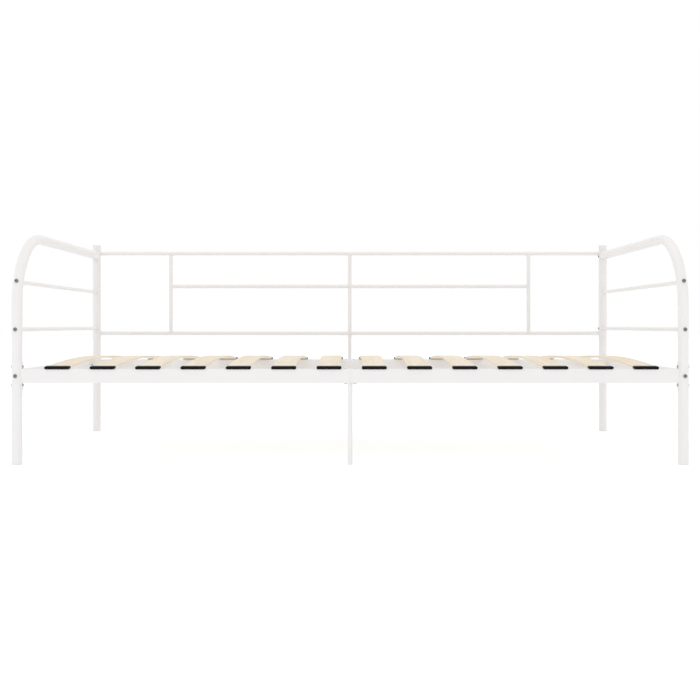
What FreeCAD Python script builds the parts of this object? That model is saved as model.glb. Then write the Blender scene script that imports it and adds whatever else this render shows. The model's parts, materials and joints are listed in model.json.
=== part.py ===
import FreeCAD, Part
import math
import os

import Sketcher
from FreeCAD import Placement, Rotation, Vector

# Steel daybed frame for a 900 x 2000 mm mattress: two bent-tube end frames, a rod back panel,
# side rails in two halves and fourteen crowned slats in plastic caps.
# Millimetres.  +X runs to the right, +Y to the back, +Z up.  The origin is on the floor under
# the middle of the frame.

# Driving dimensions: alias, value, meaning.
DIMENSIONS = [
    ("half_length", 1021, "end frame plane from the middle"),
    ("half_depth", 470, "leg, post and front rail axis from the middle"),
    ("back_rail_depth", 377, "back rail axis behind the middle"),
    ("tube_diameter", 32, "arch and post tube"),
    ("tube_wall", 1.5, "arch and post tube wall"),
    ("cope_gap", 0.05, "gap between a shaped end and the tube it fits"),
    ("bend_radius", 223, "arch centre line radius"),
    ("arm_height", 707.5, "arm axis above the floor"),
    ("post_height", 745.5, "top of the post tube"),
    ("flange_height", 4, "visible rim of a tube plug"),
    ("cap_flange", 3, "visible rim of a post cap"),
    ("plug_depth", 20, "hidden length of a tube plug"),
    ("arm_plug_depth", 32, "length of an arm plug inside its arm"),
    ("arm_plug_gap", 1, "end of an arm plug's shank short of the post tube"),
    ("tongue_reach", 25.6, "tongue of an arm plug beyond its shank"),
    ("rung_diameter", 13, "end frame rungs"),
    ("rod_diameter", 14.5, "back panel rods and centre legs"),
    ("rod_wall", 1.2, "wall of the rungs, rods and centre legs"),
    ("slide_fit", 0.1, "radial clearance of a plug, peg, screw or rod in its hole"),
    ("thread_fit", 0.02, "radial clearance of a bolt in its thread"),
    ("upper_rung_height", 559.5, "upper rung axis"),
    ("upper_rung_start", 14, "front end of the uncut upper rung behind the leg's axis"),
    ("lower_rung_height", 414, "lower rung axis"),
    ("rail_level", 271.5, "axis of side rails and end rails"),
    ("rail_height", 43, "side rail section height"),
    ("rail_thickness", 20, "side rail section width"),
    ("rail_wall", 1.5, "rail tube wall"),
    ("rail_corner", 2, "outer corner radius of a rail tube"),
    ("end_rail_height", 40, "end rail section height"),
    ("rail_gap", 0.5, "gap between the two halves of a side rail"),
    ("saddle_height", 88, "saddle plate height"),
    ("saddle_width", 24, "saddle plate width across its middle"),
    ("saddle_thickness", 1.5, "saddle plate thickness"),
    ("plate_height", 36, "end plate of the back rail"),
    ("plate_width", 92, "end plate of the back rail, along the end rail"),
    ("plate_thickness", 3, "end plate of the back rail"),
    ("plate_corner", 5, "corner radius of an end plate"),
    ("plate_bolt_spacing", 64, "distance between the two bolts of an end plate"),
    ("joint_spacing", 57, "distance between the two bolts of a leg joint"),
    ("bolt_diameter", 6, "frame bolts"),
    ("bolt_hole", 6.6, "clearance hole for a frame bolt"),
    ("head_diameter", 12, "button head of a frame bolt"),
    ("nut_width", 10, "hexagon nut across flats"),
    ("washer_edge", 1.2, "thickness of a rung washer at its middle"),
    ("washer_depth", 7, "depth of a rung washer before its back is shaped"),
    ("insert_length", 15, "threaded insert in a rod end"),
    ("insert_inset", 2, "insert behind the tube that its rod meets"),
    ("slope_tilt", 4, "tilt in degrees of the bolt that stands on the bend"),
    ("slope_insert_start", 33.5, "front of that bolt's insert behind the leg's axis"),
    ("slope_pivot", 10, "point where that bolt crosses the rung's axis, from its insert's front"),
    ("slope_reach", 49, "that bolt's seat from the same point"),
    ("sleeve_nut_diameter", 8, "barrel of a sleeve nut in the outer side of a leg"),
    ("sleeve_nut_flange", 11, "flange of a sleeve nut"),
    ("connector_half", 38, "half length of the sleeve inside a side rail"),
    ("sleeve_fit", 0.2, "clearance between a sleeve and its tube"),
    ("rail_bolt_offset", 15, "side rail joint bolt from the middle"),
    ("lock_diameter", 5, "post lock screw"),
    ("arm_lock_height", 704.2, "lock screw under the arm"),
    ("tongue_width", 13, "tongue of the arm plug"),
    ("tongue_height", 12, "tongue of the arm plug"),
    ("tongue_drop", 3, "tongue's middle below the arm's axis"),
    ("panel_top_height", 716, "panel top rod axis"),
    ("panel_middle_height", 583.5, "panel middle rod axis"),
    ("panel_low_height", 394.5, "panel low rod axis"),
    ("panel_upright_offset", 721.5, "side upright of the panel from the middle"),
    ("slat_pitch", 138.5, "distance between slats"),
    ("slat_row_offset", 4.5, "middle of the slat row from the middle of the frame"),
    ("slat_width", 70, "slat width"),
    ("slat_easing", 1.8, "rounded long edges of a slat"),
    ("slat_thickness", 6.5, "slat thickness"),
    ("slat_crown", 18.5, "rise of a slat at mid span"),
    ("slat_overhang", 10, "slat end beyond a rail's centre line"),
    ("slat_half", "=(half_depth + back_rail_depth) / 2 + slat_overhang", "half length of a slat"),
    ("slat_seat", 0.5, "underside of a slat end above the rail"),
    ("cap_width", 76.5, "slat cap width"),
    ("cap_height", 8.9, "slat cap height"),
    ("cap_length", 18, "slat cap length along the slat"),
    ("cap_overhang", 3.5, "cap end face beyond the rail face"),
    ("cap_rounding", 1, "rounded rim of a cap's end face"),
    ("cap_fit", 0.3, "clearance round a slat in its cap"),
    ("peg_offset", 22, "cap peg from the middle of the cap"),
    ("peg_diameter", 6, "cap peg"),
    ("peg_length", 8, "cap peg below the rail top"),
]
SLAT_COUNT = 14

os.makedirs("parts", exist_ok=True)
doc = FreeCAD.newDocument("Daybed")
sheet = doc.addObject("Spreadsheet::Sheet", "Dims")
for row, (alias, value, meaning) in enumerate(DIMENSIONS, start=1):
    sheet.set(f"A{row}", meaning)
    sheet.set(f"B{row}", str(value))
    sheet.setAlias(f"B{row}", alias)
doc.recompute()

# Rotations that carry a piece's own Z axis onto a direction of the frame.
TOWARDS = {
    "+X": Rotation(Vector(0, 1, 0), 90),
    "-X": Rotation(Vector(0, 1, 0), -90),
    "+Y": Rotation(Vector(1, 0, 0), -90),
    "-Y": Rotation(Vector(1, 0, 0), 90),
    "+Z": Rotation(),
    "-Z": Rotation(Vector(1, 0, 0), 180),
    # The bolt on the bend leans up from the front, seen in the frame's axes and in its insert's.
    "up the bend": Rotation(Vector(1, 0, 0), 90 - sheet.slope_tilt),
    "out of the insert": Rotation(Vector(1, 0, 0), 180 - sheet.slope_tilt),
}
HALF_TURN = Rotation(Vector(0, 0, 1), 180)
SIDES = {"left": "-1", "right": "1"}
ENDS = {"front": "-1", "back": "1"}

# Radius of a slat's underside, and the slat's tilt where its cap holds it.
SLAT_RADIUS = "((Dims.slat_half ^ 2 + Dims.slat_crown ^ 2) / (2 * Dims.slat_crown))"
SLAT_TILT = math.degrees(math.atan2(2 * sheet.slat_crown, sheet.slat_half))

nodes = []


def bind(target, expressions):
    """Bind each property path of an object to an expression of the sheet's cells."""
    for path, expression in expressions.items():
        target.setExpression(path, expression)


def place(target, turn, x="0", y="0", z="0"):
    """Turn an object, then bind its position."""
    target.Placement = Placement(Vector(), turn)
    bind(target, {"Placement.Base.x": x, "Placement.Base.y": y, "Placement.Base.z": z})


def new_body(label):
    body = doc.addObject("PartDesign::Body", label)
    body.Label = label
    nodes.append(body)
    return body


def new_sketch(body, name, role="XY_Plane"):
    """Start a sketch on one of the body's own origin planes."""
    sketch = body.newObject("Sketcher::SketchObject", name)
    plane = [item for item in body.Origin.OriginFeatures if item.Role == role][0]
    sketch.AttachmentSupport = (plane, [""])
    sketch.MapMode = "FlatFace"
    return sketch


def dimension(sketch, name, constraint, expression):
    """Add a named dimension to a sketch and bind it."""
    number = sketch.addConstraint(constraint)
    sketch.renameConstraint(number, name)
    sketch.setExpression("Constraints." + name, expression)


def add_circle(sketch, name, start_radius, expression):
    """Add a circle about the sketch's origin with a bound diameter."""
    circle = sketch.addGeometry(Part.Circle(Vector(), Vector(0, 0, 1), start_radius))
    sketch.addConstraint(Sketcher.Constraint("Coincident", circle, 3, -1, 1))
    dimension(sketch, name, Sketcher.Constraint("Diameter", circle, 2 * start_radius), expression)


def add_rectangle(sketch, name, start_width, start_height, width, height):
    """Add a rectangle centred on the sketch's origin with bound sides."""
    x = start_width / 2
    y = start_height / 2
    corners = [Vector(-x, -y), Vector(x, -y), Vector(x, y), Vector(-x, y)]
    lines = []
    for index, corner in enumerate(corners):
        lines.append(sketch.addGeometry(Part.LineSegment(corner, corners[(index + 1) % 4])))
    for index, line in enumerate(lines):
        sketch.addConstraint(Sketcher.Constraint("Coincident", line, 2, lines[(index + 1) % 4], 1))
        direction = "Vertical" if index % 2 else "Horizontal"
        sketch.addConstraint(Sketcher.Constraint(direction, line))
    sketch.addConstraint(Sketcher.Constraint("Symmetric", lines[0], 1, lines[2], 1, -1, 1))
    across = Sketcher.Constraint("DistanceX", lines[0], 1, lines[0], 2, start_width)
    upward = Sketcher.Constraint("DistanceY", lines[1], 1, lines[1], 2, start_height)
    dimension(sketch, name + "_width", across, width)
    dimension(sketch, name + "_height", upward, height)


def pad(body, name, sketch, length, side="One side"):
    feature = body.newObject("PartDesign::Pad", name)
    feature.Profile = sketch
    feature.SideType = side
    feature.setExpression("Length", length)
    sketch.Visibility = False
    return feature


def bore(body, name, towards, radius, length, x="0", y="0", z="0"):
    """Cut a round hole that starts at a point and runs in a direction, in the body's own axes."""
    tool = body.newObject("PartDesign::SubtractiveCylinder", name)
    place(tool, TOWARDS[towards], x, y, z)
    bind(tool, {"Radius": radius, "Height": length})
    return tool


def slot(body, name, width, depth, height, x, y, z):
    """Cut a box, given by its size and its lowest corner, out of a body."""
    tool = body.newObject("PartDesign::SubtractiveBox", name)
    place(tool, Rotation(), x, y, z)
    bind(tool, {"Length": width, "Width": depth, "Height": height})


def round_tube(label, length, diameter="Dims.rod_diameter", wall="Dims.rod_wall"):
    """A straight round tube along its own Z axis, from 0 to its length."""
    body = new_body(label)
    ring = new_sketch(body, label + "_ring")
    add_circle(ring, "outer", 16, diameter)
    add_circle(ring, "inner", 6, f"{diameter} - 2 * {wall}")
    pad(body, label + "_tube", ring, length)
    return body


def box_tube(label, height, width, length, corner="Dims.rail_corner", side="One side"):
    """A rectangular tube along its own Z axis with rounded outer corners; X carries the height."""
    body = new_body(label)
    outline = new_sketch(body, label + "_outline")
    add_rectangle(outline, "outer", 40, 20, height, width)
    block = pad(body, label + "_block", outline, length, side)
    doc.recompute()
    rounding = body.newObject("PartDesign::Fillet", label + "_corners")
    rounding.Base = (block, lengthwise_edges(block.Shape, Vector(0, 0, 1)))
    rounding.setExpression("Radius", corner)
    hollow = new_sketch(body, label + "_hollow")
    wall = "2 * Dims.rail_wall"
    add_rectangle(hollow, "inner", 36, 16, f"{height} - {wall}", f"{width} - {wall}")
    cut = body.newObject("PartDesign::Pocket", label + "_bore")
    cut.Profile = hollow
    cut.Type = "ThroughAll"
    cut.SideType = "Symmetric"
    return body


def lengthwise_edges(shape, direction):
    """Names of a shape's straight edges that run along a direction."""
    names = []
    for number, edge in enumerate(shape.Edges, start=1):
        ends = [vertex.Point for vertex in edge.Vertexes]
        if len(ends) == 2 and abs(abs((ends[1] - ends[0]).normalize().dot(direction)) - 1) < 1e-6:
            names.append(f"Edge{number}")
    return names


def turned(label, outline):
    """A solid of revolution about its own Z axis from a closed outline of (radius, height)."""
    body = new_body(label)
    sketch = new_sketch(body, label + "_outline", "XZ_Plane")
    lines = []
    points = [Vector(radius, height) for radius, height in outline]
    for index, point in enumerate(points):
        lines.append(sketch.addGeometry(Part.LineSegment(point, points[(index + 1) % len(points)])))
    for index, line in enumerate(lines):
        follower = lines[(index + 1) % len(lines)]
        sketch.addConstraint(Sketcher.Constraint("Coincident", line, 2, follower, 1))
        sketch.addConstraint(Sketcher.Constraint("Block", line))
    turn = body.newObject("PartDesign::Revolution", label + "_turning")
    turn.Profile = sketch
    turn.ReferenceAxis = (sketch, ["V_Axis"])
    turn.Angle = 360
    sketch.Visibility = False
    return body


def group(label, master, placements):
    """Repeat a piece: the master takes the first place and linked copies take the others."""
    nodes.remove(master)
    master.Label = label + "_piece"
    members = []
    for number, (turn, x, y, z) in enumerate(placements, start=1):
        member = master
        if number > 1:
            member = doc.addObject("App::Link", f"{label}_{number}")
            member.LinkedObject = master
        place(member, turn, x, y, z)
        members.append(member)
    return collect(label, members)


def collect(label, members):
    """One node that holds several separate solids."""
    node = doc.addObject("Part::Compound", label)
    node.Label = label
    node.Links = members
    nodes.append(node)
    return node


# ---- End frames: a bent arch tube at the front and a straight post at the back. ----

TUBE_RADIUS = "Dims.tube_diameter / 2"
BEND_START = "(Dims.arm_height - Dims.bend_radius)"
JOINT_LEVELS = {
    "upper": "(Dims.rail_level + Dims.joint_spacing / 2)",
    "lower": "(Dims.rail_level - Dims.joint_spacing / 2)",
}
HOLE_RADIUS = "Dims.bolt_hole / 2"
COPE = TUBE_RADIUS + " + Dims.cope_gap"
# A hole across a tube starts a little outside it and ends as far beyond.
ACROSS = "-Dims.tube_diameter / 2 - 1"
THROUGH = "Dims.tube_diameter + 2"
LOCK_HOLE = "Dims.lock_diameter / 2 + Dims.slide_fit"
LOCK_THREAD = "Dims.lock_diameter / 2 - Dims.slide_fit"


BARREL_HOLE = "Dims.sleeve_nut_diameter / 2 + Dims.slide_fit"


def arch_tube(side):
    """Front leg, bend and arm in one tube; its own origin is at the leg's axis on the floor."""
    label = side + "_arch_tube"
    body = new_body(label)
    ring = new_sketch(body, label + "_ring")
    bind(ring, {"AttachmentOffset.Base.z": "Dims.flange_height"})
    add_circle(ring, "outer", 16, "Dims.tube_diameter")
    add_circle(ring, "inner", 14, "Dims.tube_diameter - 2 * Dims.tube_wall")

    route = new_sketch(body, label + "_route", "YZ_Plane")
    bend = sheet.bend_radius
    start = sheet.arm_height - bend
    leg = route.addGeometry(Part.LineSegment(Vector(0, sheet.flange_height), Vector(0, start)))
    circle = Part.Circle(Vector(bend, start), Vector(0, 0, 1), bend)
    curve = route.addGeometry(Part.ArcOfCircle(circle, math.pi / 2, math.pi))
    arm_end = Vector(2 * sheet.half_depth, sheet.arm_height)
    arm = route.addGeometry(Part.LineSegment(Vector(bend, sheet.arm_height), arm_end))
    route.addConstraint(Sketcher.Constraint("PointOnObject", leg, 1, -2))
    route.addConstraint(Sketcher.Constraint("Vertical", leg))
    route.addConstraint(Sketcher.Constraint("Horizontal", arm))
    route.addConstraint(Sketcher.Constraint("Tangent", leg, 2, curve, 2))
    route.addConstraint(Sketcher.Constraint("Tangent", curve, 1, arm, 1))
    foot = Sketcher.Constraint("DistanceY", -1, 1, leg, 1, sheet.flange_height)
    height = Sketcher.Constraint("DistanceY", -1, 1, arm, 2, sheet.arm_height)
    reach = Sketcher.Constraint("DistanceX", -1, 1, arm, 2, 2 * sheet.half_depth)
    dimension(route, "foot", foot, "Dims.flange_height")
    dimension(route, "radius", Sketcher.Constraint("Radius", curve, bend), "Dims.bend_radius")
    dimension(route, "height", height, "Dims.arm_height")
    dimension(route, "reach", reach, "2 * Dims.half_depth")

    pipe = body.newObject("PartDesign::AdditivePipe", label + "_bend")
    pipe.Profile = ring
    pipe.Spine = (route, ["Edge1", "Edge2", "Edge3"])
    ring.Visibility = False
    route.Visibility = False

    bore(body, label + "_cope", "+Z", COPE, "4 * Dims.tube_diameter",
         y="2 * Dims.half_depth", z="Dims.arm_height - 2 * Dims.tube_diameter")
    # Each leg joint has a bolt's hole on the inner side and a sleeve nut's on the outer side.
    outward = "-X" if side == "left" else "+X"
    for name, level in JOINT_LEVELS.items():
        bore(body, f"{label}_{name}_bolt_hole", "+X", HOLE_RADIUS, THROUGH, x=ACROSS, z=level)
        bore(body, f"{label}_{name}_nut_hole", outward, BARREL_HOLE, THROUGH, z=level)
    for name, level in (("rail", "Dims.rail_level"), ("lower_rung", "Dims.lower_rung_height")):
        bore(body, f"{label}_{name}_hole", "+Y", HOLE_RADIUS, THROUGH, y=ACROSS, z=level)
    bore(body, label + "_upper_rung_hole", "up the bend", HOLE_RADIUS, "3 * Dims.tube_diameter",
         y="Dims.slope_insert_start + Dims.slope_pivot", z="Dims.upper_rung_height")
    place(body, Rotation(), SIDES[side] + " * Dims.half_length", "-Dims.half_depth", "0")


def back_post(side):
    """Straight post; its own origin is at the bottom of the tube."""
    label = side + "_back_post"
    height = "(Dims.post_height - Dims.flange_height)"
    body = round_tube(label, height, "Dims.tube_diameter", "Dims.tube_wall")
    base = "Dims.flange_height"
    for name, level in (("rail", "Dims.rail_level"), ("upper_rung", "Dims.upper_rung_height")):
        bore(body, f"{label}_{name}_hole", "+Y", HOLE_RADIUS, THROUGH, y=ACROSS, z=f"{level} - {base}")
    bore(body, label + "_rung_socket", "-Y", "Dims.rung_diameter / 2 + Dims.slide_fit", THROUGH,
         z=f"Dims.lower_rung_height - {base}")
    tongue_fit = "2 * Dims.slide_fit"
    tongue_level = f"(Dims.arm_height - Dims.tongue_drop - {base})"
    slot(body, label + "_tongue_slot", f"Dims.tongue_width + 2 * {tongue_fit}", TUBE_RADIUS,
         f"Dims.tongue_height + 2 * {tongue_fit}", f"-Dims.tongue_width / 2 - {tongue_fit}",
         "-" + TUBE_RADIUS, f"{tongue_level} - Dims.tongue_height / 2 - {tongue_fit}")
    for name, level in (("arm", "Dims.arm_lock_height"), ("rung", "Dims.lower_rung_height")):
        bore(body, f"{label}_{name}_lock_hole", "-X", LOCK_HOLE, THROUGH, z=f"{level} - {base}")
    place(body, Rotation(), SIDES[side] + " * Dims.half_length", "Dims.half_depth", base)


def lower_rung(side):
    """Rung whose front end is coped to the leg and whose back end stands inside the post."""
    label = side + "_lower_rung"
    body = round_tube(label, "2 * Dims.half_depth + Dims.rung_diameter / 2", "Dims.rung_diameter")
    bore(body, label + "_cope", "+Y", COPE, THROUGH, y=ACROSS)
    bore(body, label + "_lock_hole", "-X", LOCK_THREAD, "Dims.rung_diameter", z="2 * Dims.half_depth")
    place(body, TOWARDS["+Y"], SIDES[side] + " * Dims.half_length", "-Dims.half_depth",
          "Dims.lower_rung_height")


def upper_rung(side):
    """Rung coped to the bend of the arch in front and to the post behind."""
    label = side + "_upper_rung"
    start = "Dims.upper_rung_start"
    body = round_tube(label, f"2 * Dims.half_depth - {start}", "Dims.rung_diameter")
    bend = body.newObject("PartDesign::SubtractiveTorus", label + "_bend_cope")
    # Only the upper front quarter of the ring is the arch's own bend.
    bend.Angle3 = 90
    place(bend, TOWARDS["+X"] * TOWARDS["-Z"], "0", f"Dims.upper_rung_height - {BEND_START}",
          f"Dims.bend_radius - {start}")
    bind(bend, {"Radius1": "Dims.bend_radius", "Radius2": COPE})
    bore(body, label + "_post_cope", "+Y", COPE, THROUGH, y=ACROSS,
         z=f"2 * Dims.half_depth - {start}")
    place(body, TOWARDS["+Y"], SIDES[side] + " * Dims.half_length", f"{start} - Dims.half_depth",
          "Dims.upper_rung_height")


def end_rail(side):
    """Rectangular tube between leg and post at mattress height, coped at both ends."""
    label = side + "_end_rail"
    body = box_tube(label, "Dims.end_rail_height", "Dims.rail_thickness", "2 * Dims.half_depth")
    for name, end in (("front", "0"), ("back", "2 * Dims.half_depth")):
        bore(body, f"{label}_{name}_cope", "+X", COPE, "2 * Dims.end_rail_height",
             x="-Dims.end_rail_height", z=end)
    outward = "+Y" if side == "left" else "-Y"
    for name, sign in (("near", "-"), ("far", "+")):
        along = f"Dims.half_depth + Dims.back_rail_depth {sign} Dims.plate_bolt_spacing / 2"
        bore(body, f"{label}_{name}_bolt_hole", "+Y", HOLE_RADIUS, "2 * Dims.rail_thickness",
             y="-Dims.rail_thickness", z=along)
        bore(body, f"{label}_{name}_nut_hole", outward, BARREL_HOLE, "Dims.rail_thickness", z=along)
    place(body, TOWARDS["+Y"] * Rotation(Vector(0, 0, 1), 90), SIDES[side] + " * Dims.half_length",
          "-Dims.half_depth", "Dims.rail_level")


for end_side in SIDES:
    arch_tube(end_side)
    back_post(end_side)
    lower_rung(end_side)
    upper_rung(end_side)
    end_rail(end_side)


# ---- Tube plugs and the plug that joins each arm to its post. ----

def tube_plug(label, radius, bore_radius, flange, depth):
    """Plug with a visible rim below its own origin and a hidden shank above it."""
    chamfer = flange / 5
    return turned(label, [(0, -flange), (radius - chamfer, -flange), (radius, chamfer - flange),
                          (radius, 0), (bore_radius, 0), (bore_radius, depth - chamfer),
                          (bore_radius - chamfer, depth), (0, depth)])


def corners(height, turn):
    """Places at the two legs and the two posts, at one height."""
    return [(turn, f"{x} * Dims.half_length", f"{y} * Dims.half_depth", height)
            for x in SIDES.values() for y in ENDS.values()]


tube_radius = sheet.tube_diameter / 2
plug_radius = tube_radius - sheet.tube_wall - sheet.slide_fit
foot_plug = tube_plug("foot_plug", tube_radius, plug_radius, sheet.flange_height, sheet.plug_depth)
group("foot_plugs", foot_plug, corners("Dims.flange_height", Rotation()))

post_cap = tube_plug("post_cap", tube_radius, plug_radius, sheet.cap_flange, sheet.plug_depth)
group("post_caps", post_cap, [(TOWARDS["-Z"], f"{x} * Dims.half_length", "Dims.half_depth",
                               "Dims.post_height") for x in SIDES.values()])

arm_plug = new_body("arm_plug")
plug_disc = new_sketch(arm_plug, "arm_plug_disc")
add_circle(plug_disc, "bore", 14, "Dims.tube_diameter - 2 * Dims.tube_wall - 2 * Dims.slide_fit")
pad(arm_plug, "arm_plug_shank", plug_disc, "Dims.arm_plug_depth")
plug_tongue = new_sketch(arm_plug, "arm_plug_tongue_outline")
add_rectangle(plug_tongue, "tongue", 13, 12, "Dims.tongue_width", "Dims.tongue_height")
bind(plug_tongue, {"AttachmentOffset.Base.y": "Dims.tongue_drop"})
pad(arm_plug, "arm_plug_tongue", plug_tongue, "Dims.arm_plug_depth + Dims.tongue_reach")
PLUG_TO_POST = f"Dims.arm_plug_depth + {TUBE_RADIUS} + Dims.arm_plug_gap"
bore(arm_plug, "arm_plug_lock_hole", "-X", LOCK_THREAD, TUBE_RADIUS,
     y="Dims.arm_height - Dims.arm_lock_height", z=PLUG_TO_POST)
group("arm_plugs", arm_plug, [(TOWARDS["+Y"], f"{x} * Dims.half_length",
                               f"Dims.half_depth - ({PLUG_TO_POST})", "Dims.arm_height")
                              for x in SIDES.values()])


# ---- Side rails in two halves: the front ones end in saddle plates that hug the legs, and the
# back ones in flat plates that lie against the end rails. ----

RAIL_TOP = "(Dims.rail_level + Dims.rail_height / 2)"
RAIL_BOTTOM = "(Dims.rail_level - Dims.rail_height / 2)"
SADDLE_RADIUS = "(Dims.tube_diameter / 2 + Dims.saddle_thickness)"
SADDLE_SWEEP = 60
RAIL_Y = {"front": "-Dims.half_depth", "back": "Dims.back_rail_depth"}
PLATE_FACE = "(Dims.half_length - Dims.rail_thickness / 2 - Dims.plate_thickness)"


def rail_half(end, side):
    """Half a side rail; its own Z axis runs outward from the middle and its X axis points down."""
    label = f"{end}_{side}_rail"
    length = "Dims.half_length - Dims.rail_gap / 2"
    if end == "back":
        length = f"{PLATE_FACE} - Dims.rail_gap / 2"
    body = box_tube(label, "Dims.rail_height", "Dims.rail_thickness", length)
    outward = SIDES[side]
    down = "1" if side == "right" else "-1"
    if end == "front":
        bore(body, label + "_cope", "+X", SADDLE_RADIUS, "2 * Dims.rail_height", x="-Dims.rail_height",
             z=length)
    bore(body, label + "_joint_hole", "+X", HOLE_RADIUS, "2 * Dims.rail_height", x="-Dims.rail_height",
         z="Dims.rail_bolt_offset - Dims.rail_gap / 2")
    leg_side = "+X" if side == "right" else "-X"
    bore(body, label + "_leg_notch", leg_side, "Dims.rod_diameter / 2 + Dims.sleeve_fit",
         "Dims.rail_height", z="-Dims.rail_gap / 2")
    nearest = f"(Dims.slat_pitch / 2 + {outward} * Dims.slat_row_offset - Dims.rail_gap / 2)"
    for name, sign in (("inner", "-"), ("outer", "+")):
        peg_holes(body, name, down, f"{nearest} {sign} Dims.peg_offset")
    place(body, TOWARDS["+X" if side == "right" else "-X"], f"{outward} * Dims.rail_gap / 2",
          RAIL_Y[end], "Dims.rail_level")
    return body


def peg_holes(body, name, down, distance):
    """Row of holes through the rail's top wall, one for a peg of each slat cap."""
    label = f"{body.Label}_{name}_peg_hole"
    hole = bore(body, label, "+X", "Dims.peg_diameter / 2 + Dims.slide_fit", "4 * Dims.rail_wall",
                x=f"-{down} * Dims.rail_height / 2 - 2 * Dims.rail_wall", z=distance)
    row_of_holes = body.newObject("PartDesign::LinearPattern", label + "s")
    row_of_holes.Originals = [hole]
    z_axis = [item for item in body.Origin.OriginFeatures if item.Role == "Z_Axis"][0]
    row_of_holes.Direction = (z_axis, [""])
    row_of_holes.Occurrences = SLAT_COUNT // 2
    row_of_holes.setExpression("Length", f"Dims.slat_pitch * {SLAT_COUNT // 2 - 1}")
    body.Tip = row_of_holes


def saddle(side):
    """Oval plate bent round the leg; its own origin is on the leg's axis at rail level."""
    label = f"front_{side}_saddle"
    body = new_body(label)
    band = new_sketch(body, label + "_band")
    sweep = math.radians(SADDLE_SWEEP)
    inner = sheet.tube_diameter / 2 + sheet.cope_gap
    outer = sheet.tube_diameter / 2 + sheet.saddle_thickness
    arcs = []
    for radius in (inner, outer):
        circle = Part.Circle(Vector(), Vector(0, 0, 1), radius)
        arcs.append(band.addGeometry(Part.ArcOfCircle(circle, -sweep, sweep)))
        band.addConstraint(Sketcher.Constraint("Coincident", arcs[-1], 3, -1, 1))
    for tip, angle in ((1, -sweep), (2, sweep)):
        ray = Vector(math.cos(angle), math.sin(angle))
        line = band.addGeometry(Part.LineSegment(ray * inner, ray * outer))
        band.addConstraint(Sketcher.Constraint("Coincident", line, 1, arcs[0], tip))
        band.addConstraint(Sketcher.Constraint("Coincident", line, 2, arcs[1], tip))
        band.addConstraint(Sketcher.Constraint("PointOnObject", -1, 1, line))
    dimension(band, "inner", Sketcher.Constraint("Radius", arcs[0], inner), COPE)
    dimension(band, "outer", Sketcher.Constraint("Radius", arcs[1], outer), SADDLE_RADIUS)
    pad(body, label + "_plate", band, "Dims.saddle_height", "Symmetric")

    outline = new_sketch(body, label + "_outline", "YZ_Plane")
    tall = sheet.saddle_height / 2
    wide = sheet.saddle_width / 2
    add_rectangle(outline, "blank", 60, 100, "2 * Dims.tube_diameter", "1.1 * Dims.saddle_height")
    oval = Part.Ellipse(Vector(0, tall), Vector(wide, 0), Vector())
    edge = outline.addGeometry(oval)
    outline.addConstraint(Sketcher.Constraint("Block", edge))
    trim = body.newObject("PartDesign::Pocket", label + "_trim")
    trim.Profile = outline
    trim.Type = "ThroughAll"
    trim.SideType = "Symmetric"
    for name, level in (("upper", "1"), ("lower", "-1")):
        bore(body, f"{label}_{name}_hole", "+X", HOLE_RADIUS, "Dims.tube_diameter",
             z=f"{level} * Dims.joint_spacing / 2")
    turn = Rotation() if side == "left" else HALF_TURN
    place(body, turn, f"{SIDES[side]} * Dims.half_length", "-Dims.half_depth", "Dims.rail_level")


def end_plate(side):
    """Plate on a back rail's end, against the inner face of the end rail; its X axis is upright."""
    label = f"back_{side}_end_plate"
    body = new_body(label)
    outline = new_sketch(body, label + "_outline")
    add_rectangle(outline, "plate", 36, 92, "Dims.plate_height", "Dims.plate_width")
    block = pad(body, label + "_block", outline, "Dims.plate_thickness")
    doc.recompute()
    rounding = body.newObject("PartDesign::Fillet", label + "_corners")
    rounding.Base = (block, lengthwise_edges(block.Shape, Vector(0, 0, 1)))
    rounding.setExpression("Radius", "Dims.plate_corner")
    for name, sign in (("near", "-1"), ("far", "1")):
        bore(body, f"{label}_{name}_hole", "+Z", HOLE_RADIUS, "3 * Dims.plate_thickness",
             y=f"{sign} * Dims.plate_bolt_spacing / 2", z="-Dims.plate_thickness")
    outward = "+X" if side == "right" else "-X"
    place(body, TOWARDS[outward], f"{SIDES[side]} * {PLATE_FACE}", RAIL_Y["back"], "Dims.rail_level")


for rail_side in SIDES:
    rail_half("front", rail_side)
    saddle(rail_side)
    rail_half("back", rail_side)
    end_plate(rail_side)


# ---- Centre joint of each side rail: inner sleeve and centre leg. ----

SLEEVE_DROP = "(Dims.rail_wall + Dims.sleeve_fit)"


def connector(end):
    """Sleeve that joins the two halves from inside; its own X axis points down."""
    label = end + "_rail_connector"
    height = f"Dims.rail_height - 2 * {SLEEVE_DROP}"
    width = f"Dims.rail_thickness - 2 * {SLEEVE_DROP}"
    body = box_tube(label, height, width, "2 * Dims.connector_half", "Dims.rail_corner / 4", "Symmetric")
    for name, sign in (("left", "-1"), ("right", "1")):
        bore(body, f"{label}_{name}_hole", "+X", HOLE_RADIUS, "2 * Dims.rail_height", x="-Dims.rail_height",
             z=f"{sign} * Dims.rail_bolt_offset")
    place(body, TOWARDS["+X"], "0", RAIL_Y[end], "Dims.rail_level")


def centre_leg(end):
    """Leg from its foot plug to the underside of the sleeve."""
    body = round_tube(end + "_centre_leg", f"{RAIL_BOTTOM} + {SLEEVE_DROP} - Dims.flange_height")
    place(body, Rotation(), "0", RAIL_Y[end], "Dims.flange_height")


for joint_end in ENDS:
    connector(joint_end)
    centre_leg(joint_end)

# The panel's centre upright stands on the floor too, on the same plug.
leg_radius = sheet.rod_diameter / 2
leg_plug_radius = leg_radius - sheet.rod_wall - sheet.slide_fit
centre_plug = tube_plug("centre_plug", leg_radius, leg_plug_radius, sheet.flange_height, sheet.plug_depth)
group("centre_leg_plugs", centre_plug, [(Rotation(), "0", y, "Dims.flange_height")
                                        for y in (RAIL_Y["front"], RAIL_Y["back"], "Dims.half_depth")])


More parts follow.
